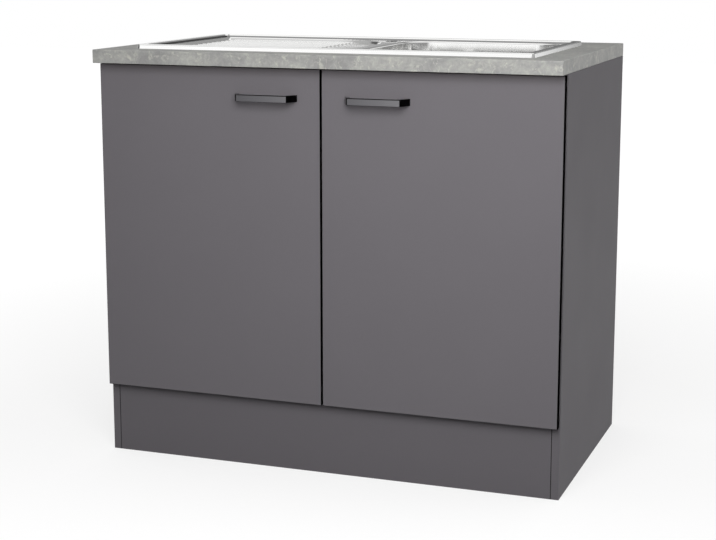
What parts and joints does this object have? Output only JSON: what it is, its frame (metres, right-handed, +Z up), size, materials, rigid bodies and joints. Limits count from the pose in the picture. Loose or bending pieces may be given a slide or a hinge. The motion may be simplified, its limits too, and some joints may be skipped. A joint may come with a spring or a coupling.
{
  "type": "kitchen sink unit",
  "caption": "Free-standing kitchen sink base unit with hinged doors, bow handles, a plinth, a laminate worktop and an inset steel sink with a bowl, drainer and waste trap.",
  "frame": {"origin": "on the floor, at the middle of the footprint", "axes": "+X to the right as seen from the front, +Y towards the wall, +Z up; the doors face -Y"},
  "size_m": [1, 0.6, 0.889],
  "materials": {
    "anthracite_board": "matt anthracite melamine on chipboard",
    "door_board": "matt anthracite melamine on chipboard",
    "hardboard": "light grey lacquered fibreboard",
    "worktop_laminate": "matt laminate with a concrete pattern on chipboard",
    "edge_laminate": "edge strip with the worktop's concrete pattern",
    "sink_steel": "satin stainless steel",
    "polished_steel": "polished stainless steel",
    "handle_metal": "dark grey metallic lacquer",
    "zinc_steel": "zinc plated steel",
    "hinge_steel": "nickel plated steel",
    "cast_zinc": "zinc die casting",
    "white_plastic": "white polypropylene",
    "hose_plastic": "pale grey polypropylene",
    "black_rubber": "black rubber",
    "seal_foam": "dark grey foam seal",
    "beech": "beech",
    "clear_buffer": "clear silicone"
  },
  "bodies": {
    "cabinet": {"side_panel_left": "anthracite_board", "side_panel_right": "anthracite_board", "bottom_panel": "anthracite_board", "front_rail": "anthracite_board", "rear_rail": "anthracite_board", "back_panel": "hardboard", "plinth_board": "anthracite_board", "plinth_brackets": "white_plastic", "plinth_bracket_screws": "zinc_steel", "worktop": "worktop_laminate", "worktop_front_strip": "edge_laminate", "worktop_side_strips": "edge_laminate", "worktop_brackets": "white_plastic", "worktop_bracket_screws": "zinc_steel", "cam_locks": "cast_zinc", "cam_bolts": "zinc_steel", "dowels": "beech", "sink": "sink_steel", "sink_seal": "seal_foam", "sink_clips": "zinc_steel", "sink_clip_screws": "zinc_steel", "strainer_body": "polished_steel", "waste_gasket": "black_rubber", "waste_lock_ring": "white_plastic", "overflow_plate": "polished_steel", "overflow_screw": "polished_steel", "overflow_elbow": "white_plastic", "overflow_pipe": "hose_plastic", "trap_inlet_pipe": "white_plastic", "trap_inlet_nut": "white_plastic", "trap_bend": "white_plastic", "trap_bend_nuts": "white_plastic", "trap_outlet_pipe": "white_plastic", "left_hinge_plates": "hinge_steel", "right_hinge_plates": "hinge_steel", "left_hinge_arms": "hinge_steel", "right_hinge_arms": "hinge_steel", "arm_pins": "hinge_steel", "hinge_plate_screws": "zinc_steel"},
    "strainer_basket": {"strainer_basket": "polished_steel", "basket_knob": "polished_steel", "basket_stopper": "black_rubber"},
    "left_hinge_link_pair": {"left_hinge_links": "hinge_steel"},
    "left_door_leaf": {"left_door": "door_board", "left_handle": "handle_metal", "left_handle_screws": "zinc_steel", "left_hinge_cups": "hinge_steel", "left_cup_screws": "zinc_steel", "left_cup_pins": "hinge_steel", "left_door_buffers": "clear_buffer"},
    "right_hinge_link_pair": {"right_hinge_links": "hinge_steel"},
    "right_door_leaf": {"right_door": "door_board", "right_handle": "handle_metal", "right_handle_screws": "zinc_steel", "right_hinge_cups": "hinge_steel", "right_cup_screws": "zinc_steel", "right_cup_pins": "hinge_steel", "right_door_buffers": "clear_buffer"}
  },
  "joints": [
    {"name": "left_link_swing", "type": "hinge", "parent": "cabinet", "child": "left_hinge_link_pair", "pos_m": [-0.469, -0.256, 0.5005], "axis": [0, 0, -1], "range_deg": [-38, 0]},
    {"name": "left_door_swing", "type": "hinge", "parent": "left_hinge_link_pair", "child": "left_door_leaf", "pos_m": [-0.487, -0.26, 0.5005], "axis": [0, 0, -1], "range_deg": [0, 133]},
    {"name": "right_link_swing", "type": "hinge", "parent": "cabinet", "child": "right_hinge_link_pair", "pos_m": [0.469, -0.256, 0.5005], "axis": [0, 0, 1], "range_deg": [-38, 0]},
    {"name": "right_door_swing", "type": "hinge", "parent": "right_hinge_link_pair", "child": "right_door_leaf", "pos_m": [0.487, -0.26, 0.5005], "axis": [0, 0, 1], "range_deg": [0, 133]},
    {"name": "basket_lift", "type": "slide", "parent": "cabinet", "child": "strainer_basket", "axis": [0, 0, 1], "range_m": [0, 0.2]}
  ],
  "couplings": [
    {"joint": "left_link_swing", "follows": "left_door_swing", "ratio": -0.28571},
    {"joint": "right_link_swing", "follows": "right_door_swing", "ratio": -0.28571}
  ]
}
